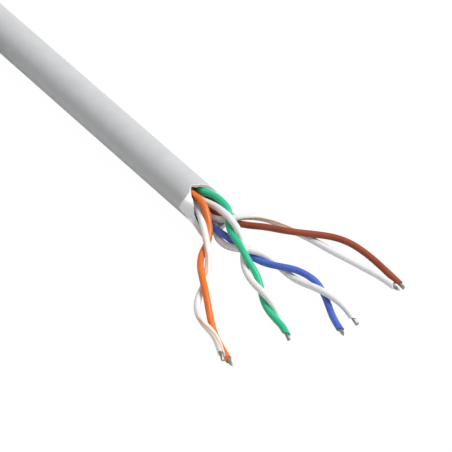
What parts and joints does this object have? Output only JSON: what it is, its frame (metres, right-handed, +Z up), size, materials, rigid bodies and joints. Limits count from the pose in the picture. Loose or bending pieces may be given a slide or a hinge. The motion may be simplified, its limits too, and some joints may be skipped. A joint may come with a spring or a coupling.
{
  "type": "network cable",
  "caption": "Short length of unshielded twisted-pair network cable, one end stripped with its colour-coded pairs fanned out, the rest in a tied coil.",
  "frame": {"origin": "under the middle of the footprint, on the surface that the cable lies on", "axes": "+X along the straight jacket towards the bare wires, +Z up, +Y to the left of that direction, away from the coil"},
  "size_m": [0.1252, 0.0798, 0.0115],
  "materials": {
    "jacket": "light grey PVC, soft satin",
    "orange": "orange polyethylene insulation",
    "green": "blue-green polyethylene insulation",
    "blue": "blue polyethylene insulation",
    "brown": "brown polyethylene insulation",
    "white_orange": "white insulation with an orange stripe",
    "white_green": "white insulation with a green stripe",
    "white_blue": "white insulation with a blue stripe",
    "white_brown": "white insulation with a brown stripe",
    "conductor": "tinned solid wire, pinched where it was cut",
    "strap": "black hook-and-loop strap, woven"
  },
  "bodies": {
    "root": {"jacket_lead": "jacket", "jacket_coil": "jacket", "jacket_tail": "jacket", "coil_tie": "strap", "far_end_insulation": "white_blue", "far_end_conductor": "conductor", "green_insulation": "green", "green_conductor": "conductor", "white_green_insulation": "white_green", "white_green_conductor": "conductor", "orange_insulation": "orange", "orange_conductor": "conductor", "white_orange_insulation": "white_orange", "white_orange_conductor": "conductor", "blue_insulation": "blue", "blue_conductor": "conductor", "white_blue_insulation": "white_blue", "white_blue_conductor": "conductor", "brown_insulation": "brown", "brown_conductor": "conductor", "white_brown_insulation": "white_brown", "white_brown_conductor": "conductor"}
  },
  "joints": []
}
